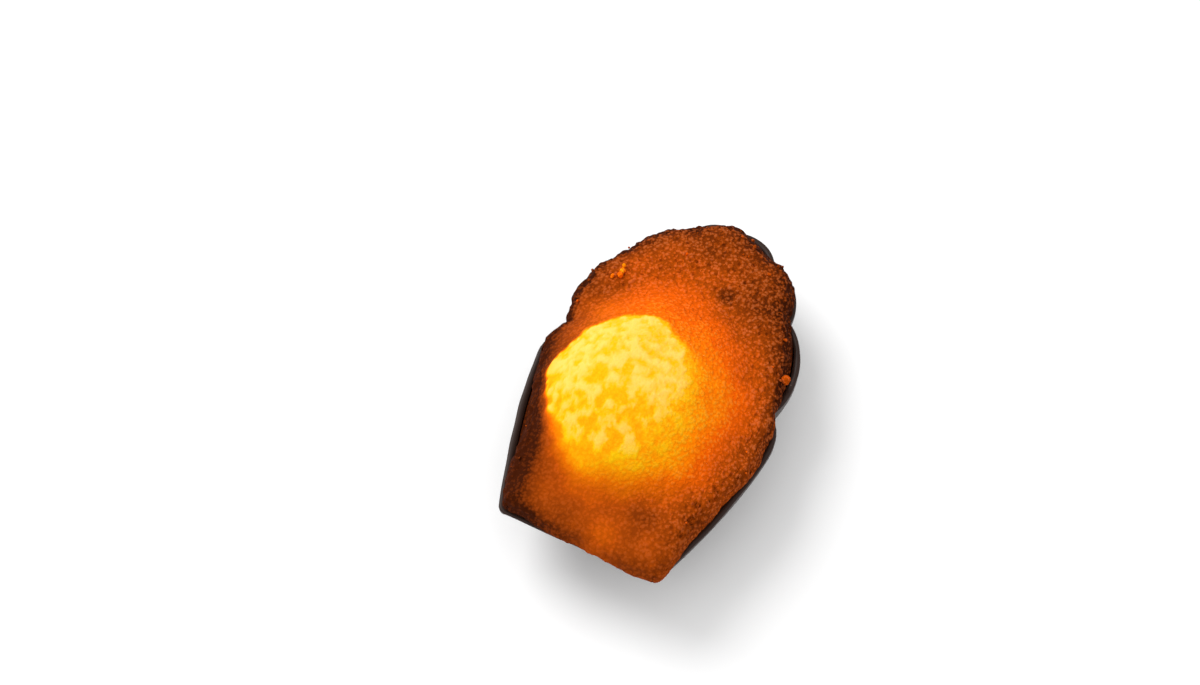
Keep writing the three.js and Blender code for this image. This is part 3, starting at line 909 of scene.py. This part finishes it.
class MADELEINE_OT_sponge(bpy.types.Operator):
    """Builds the sponge with its crust, pores and torn crumb"""

    bl_idname = "madeleine.sponge"
    bl_label = "Sponge"

    def execute(self, context):
        form = Form(context.scene.madeleine_shape)
        looks = context.scene.madeleine_looks
        mesh, part, coarse_loop = sponge_mesh(form)
        points = rows_of(mesh.vertices, "co")
        normals = rows_of(mesh.vertex_normals, "vector")
        plan = points[:, :2]
        diagonal = plan.sum(axis=-1)
        shown = part > BELLY
        on_top = part == TOP
        from_edge = np.zeros(len(points))
        from_edge[on_top] = distance_to_loop(plan[on_top], coarse_loop)
        browning, torn = browning_at(plan, from_edge)
        torn = torn * shown
        crumb = torn_crumb(points)
        browning = np.clip(browning + torn * (CRUMB_GAPS_DARKER - CRUMB_TOPS_PALER * crumb), 0, 1)
        coarse = lerp(LEAST_COARSE, 1, smoothstep(diagonal, *COARSE_RANGE))
        toasted = smoothstep(diagonal, *TOASTED_RANGE) * smoothstep(browning, *TOASTED_BROWNING)
        distance, number = nearest_dot(points, PIT_SPACING, 21)
        pits = smoothstep(distance, SMALLEST_PIT + PITS_WIDER * number, PIT_FLOOR)
        pits = pits * smoothstep(browning, *PITS_BY_BROWNING) * coarse**2
        # Sand-sized grain all over, soft lumps, ragged edge, crags, and torn crumb on the hump.
        relief = looks.crust_relief / MM * relief_layers(points, SAND)
        relief *= lerp(*SAND_BY_BROWNING, browning) * coarse
        relief += relief_layers(points, LUMPS) * smoothstep(from_edge, *LUMPS_FROM_EDGE)
        relief += relief_layers(points, RAGGED_EDGE) * smoothstep(from_edge, *RAGGED_TO_EDGE)
        crags = around(plan, CRAGS_X, CRAGS_Y, CRAGS_REACH) * layered_grain(points, CRAGS_SIZE, 17, 2)
        relief += CRAGS_HEIGHT * crags + looks.crumb_relief / MM * torn * crumb
        relief -= looks.pit_depth / MM * pits
        for mark in MARKS:
            relief -= mark["dent"] * around(plan, mark["x"], mark["y"], mark["reach"])
        room = smoothstep(points[:, 2], REST_GAP, REST_GAP + RELIEF_SETS_IN)
        place(mesh, points + normals * (relief * shown * room)[:, None])
        store(mesh, "browning", np.where(shown, browning, HIDDEN_BROWNING))
        store(mesh, "pores", PIT_SHADE * pits * shown)
        store(mesh, "torn", torn)
        store(mesh, "coarse", coarse)
        store(mesh, "toasted", toasted)
        show(mesh, "Sponge", baked_crust(), "sponge")
        return {"FINISHED"}


SHELL_FAN_STEPS = (24, 40)
SHELL_ROWS = 72
# Steps down the end face, close together at its edges to keep them crisp.
END_FACE_STEPS = (0, 0.03, 0.2, 0.5, 0.8, 0.97)
RIM_ROUND = 0.3
RIM_TURNS = (math.radians(45), math.radians(90))
RIM_WAVE = 0.12
RIM_WAVE_SIZE = 4.5
RIM_WAVE_REACH = 2.5


class MADELEINE_OT_shell(bpy.types.Operator):
    """Builds the moulded chocolate shell"""

    bl_idname = "madeleine.shell"
    bl_label = "Chocolate shell"

    def execute(self, context):
        form = Form(context.scene.madeleine_shape)
        fans = fan_places(*SHELL_FAN_STEPS)
        rows = np.linspace(0, 1, SHELL_ROWS)
        outside = form.belly(fans, rows, 0)
        inside = form.belly(fans, rows, form.shell_thickness)
        steps = np.array(END_FACE_STEPS)[None, :, None]
        end_face = lerp(outside[:, :1], outside[:, 1:2], steps)
        outside = np.concatenate([end_face, outside[:, 1:]], axis=1)
        # The rim set a little unevenly where the chocolate met the sponge.
        near_rim = smoothstep(outside[..., 2], -RIM_WAVE_REACH, 0)
        outside = form.drawn_in(outside, RIM_WAVE * near_rim * (1 + grain(outside, RIM_WAVE_SIZE, 51)))
        outside[..., 2] = np.minimum(outside[..., 2], -RIM_ROUND)
        loops = [rim_loop(outside)]
        for turned in RIM_TURNS:
            inset = np.full(len(loops[0]), RIM_ROUND * (1 - math.cos(turned)))
            ring = form.drawn_in(loops[0] * IN_PLAN, inset)
            ring[:, 2] = -RIM_ROUND * (1 - math.sin(turned))
            loops.append(ring)
        loops.append(rim_loop(inside))
        surface = Surface()
        surface.grid(outside, True, 0)
        surface.grid(inside, False, 0)
        surface.bands(loops, 1)
        mesh, _ = surface.mesh("chocolate_shell_skin")
        place(mesh, rows_of(mesh.vertices, "co"))
        show(mesh, "Chocolate_shell", moulded_chocolate(), "chocolate_shell")
        return {"FINISHED"}


def look_from(azimuth, elevation):
    """Direction from the cake to a camera or lamp, azimuth 0 looking along +Y."""
    flat = math.cos(elevation)
    return Vector((math.sin(azimuth) * flat, -math.cos(azimuth) * flat, math.sin(elevation)))


def unit_ball():
    """The points and faces of a small ball of triangles, of radius 1."""
    shape = bmesh.new()
    bmesh.ops.create_icosphere(shape, subdivisions=2, radius=1)
    shape.verts.index_update()
    points = np.array([vertex.co for vertex in shape.verts])
    faces = np.array([[vertex.index for vertex in face.verts] for face in shape.faces])
    shape.free()
    return points, faces


CRUMB_SEED = 7
CRUMB_FAN_STEPS = (24, 32)
CRUMB_RADIUS = (0.16, 0.4)
CRUMB_FAN = (-3.9, 3.9)
LEAST_INSET = 0.6
INSET_SPREAD = 1.6
CRUMB_PALER = (0.05, 0.3)
CRUMB_SHAPE = (0.7, 1.1)
CRUMB_LUMPS = 0.35
CRUMB_STANDS = 0.4
# The first crumbs lie together, larger and paler, and one big crumb lies by itself.
CRUMB_CLUSTER = 6
CLUSTER_FAN = -2.4
CLUSTER_SPREAD = 0.11
CLUSTER_INSET = (5.2, 6.8)
CLUSTER_LARGER = 2
CLUSTER_PALER = (0.3, 0.46)
BIG_CRUMB = {"fan": 2.72, "inset": 0.3, "radius": 1.1, "paler": 0.4}


class MADELEINE_OT_crumbs(bpy.types.Operator):
    """Scatters loose crumbs on the sponge, most of them along its edge"""

    bl_idname = "madeleine.crumbs"
    bl_label = "Crumbs"

    def execute(self, context):
        form = Form(context.scene.madeleine_shape)
        count = context.scene.madeleine_looks.crumb_count
        random = np.random.default_rng(CRUMB_SEED)
        fans = fan_places(*CRUMB_FAN_STEPS)
        on_narrow_edge = np.zeros(len(fans), bool)
        edge = form.sponge_edge(fans, on_narrow_edge, 0)
        loop = np.concatenate([edge, form.sponge_edge(fans[1:-1][::-1], ~on_narrow_edge[2:], 0)])
        ball, ball_faces = unit_ball()
        points, faces, browning = [], [], []
        for number in range(count):
            radius = random.uniform(*CRUMB_RADIUS)
            fan = random.uniform(*CRUMB_FAN)
            inset = LEAST_INSET + random.exponential(INSET_SPREAD)
            paler = random.uniform(*CRUMB_PALER)
            if number < CRUMB_CLUSTER:
                fan = random.normal(CLUSTER_FAN, CLUSTER_SPREAD)
                inset = random.uniform(*CLUSTER_INSET)
                radius *= CLUSTER_LARGER
                paler = random.uniform(*CLUSTER_PALER)
            if number == CRUMB_CLUSTER:
                fan, inset, radius, paler = BIG_CRUMB.values()
            place_in_plan = form.sponge_edge(np.array([fan]), np.array([False]), inset)
            from_edge = distance_to_loop(place_in_plan, loop)
            z = form.sponge_height(place_in_plan, from_edge)
            centre = np.array([*place_in_plan[0], z[0] + CRUMB_STANDS * radius])
            lumpy = 1 + CRUMB_LUMPS * layered_grain(ball + 10 * number, 0.9, 61, 2)
            made = ball * lumpy[:, None] * random.uniform(*CRUMB_SHAPE, 3) * radius + centre
            faces.append(ball_faces + len(ball) * number)
            points.append(made)
            baked = browning_at(place_in_plan, from_edge)[0][0] - paler
            browning.append(np.full(len(ball), baked))
        points = np.concatenate(points)
        mesh = bpy.data.meshes.new("crumbs")
        mesh.from_pydata(points.tolist(), [], np.concatenate(faces).tolist())
        mesh.shade_smooth()
        place(mesh, points)
        store(mesh, "browning", np.clip(np.concatenate(browning), 0, 1))
        store(mesh, "coarse", np.ones(len(points)))
        show(mesh, "Crumbs", bpy.data.materials["Oven-browned sponge crust"], None)
        return {"FINISHED"}


# The floor's reach, and the key light's place and size, in metres.
FLOOR_REACH = 1.5
KEY_TURN = math.radians(132)
KEY_ELEVATION = math.radians(50)
KEY_DISTANCE = 0.8
KEY_SIZE = 0.5


class MADELEINE_OT_stage(bpy.types.Operator):
    """Builds the floor, the light and the camera"""

    bl_idname = "madeleine.stage"
    bl_label = "Stage"

    def execute(self, context):
        scene = context.scene
        stage = scene.madeleine_stage
        mesh = bpy.data.meshes.new("floor")
        signs = ((-1, -1), (1, -1), (1, 1), (-1, 1))
        corners = [(x * FLOOR_REACH, y * FLOOR_REACH, 0) for x, y in signs]
        mesh.from_pydata(corners, [], [(0, 1, 2, 3)])
        floor = bpy.data.objects.new("Floor", mesh)
        mesh.materials.append(plain_matt("Plain matt board", stage.floor_colour))
        scene.collection.objects.link(floor)

        world = bpy.data.worlds.new("Soft sky")
        scene.world = world
        world.use_nodes = True
        background = world.node_tree.nodes["Background"]
        background.inputs["Color"].default_value = (1, 1, 1, 1)
        background.inputs["Strength"].default_value = stage.sky_strength

        lamp = bpy.data.lights.new("Soft key", "AREA")
        lamp.shape = "DISK"
        lamp.size = KEY_SIZE
        lamp.energy = stage.key_strength
        key = bpy.data.objects.new("Soft key", lamp)
        key.location = look_from(stage.camera_azimuth - KEY_TURN, KEY_ELEVATION) * KEY_DISTANCE
        key.rotation_euler = key.location.to_track_quat("Z", "Y").to_euler()
        scene.collection.objects.link(key)

        camera_data = bpy.data.cameras.new("Camera")
        camera_data.lens = stage.lens
        camera = bpy.data.objects.new("Camera", camera_data)
        back = look_from(stage.camera_azimuth, stage.camera_elevation)
        aim = Vector((AIM_X * MM, AIM_Y * MM, 0)) + Vector(frame_shift())
        camera.location = aim + back * stage.camera_distance
        camera.rotation_euler = back.to_track_quat("Z", "Y").to_euler()
        scene.collection.objects.link(camera)
        scene.camera = camera
        scene.view_settings.view_transform = "Standard"
        return {"FINISHED"}


class MADELEINE_PT_panel(bpy.types.Panel):
    """Sizes, looks and stage of the madeleine"""

    bl_idname = "MADELEINE_PT_panel"
    bl_label = "Madeleine"
    bl_space_type = "VIEW_3D"
    bl_region_type = "UI"
    bl_category = "Madeleine"

    def draw(self, context):
        layout = self.layout
        scene = context.scene
        for group in (scene.madeleine_shape, scene.madeleine_looks, scene.madeleine_stage):
            column = layout.column()
            for name in group.__annotations__:
                column.prop(group, name)
        for step in STEPS:
            layout.operator(step.bl_idname)


GROUPS = {
    "madeleine_shape": MadeleineShape,
    "madeleine_looks": MadeleineLooks,
    "madeleine_stage": MadeleineStage,
}
STEPS = (MADELEINE_OT_sponge, MADELEINE_OT_shell, MADELEINE_OT_crumbs, MADELEINE_OT_stage)


def register():
    """Makes the sizes, the steps and the panel known to Blender."""
    for name, group in GROUPS.items():
        bpy.utils.register_class(group)
        setattr(bpy.types.Scene, name, PointerProperty(type=group))
    for step in (*STEPS, MADELEINE_PT_panel):
        bpy.utils.register_class(step)


def unregister():
    """Takes them out again."""
    for step in (MADELEINE_PT_panel, *reversed(STEPS)):
        bpy.utils.unregister_class(step)
    for name, group in reversed(GROUPS.items()):
        delattr(bpy.types.Scene, name)
        bpy.utils.unregister_class(group)


def main():
    """Registers the add-on and builds the sponge, shell, crumbs and stage."""
    register()
    bpy.ops.madeleine.sponge()
    bpy.ops.madeleine.shell()
    bpy.ops.madeleine.crumbs()
    bpy.ops.madeleine.stage()


if __name__ == "__main__":
    main()
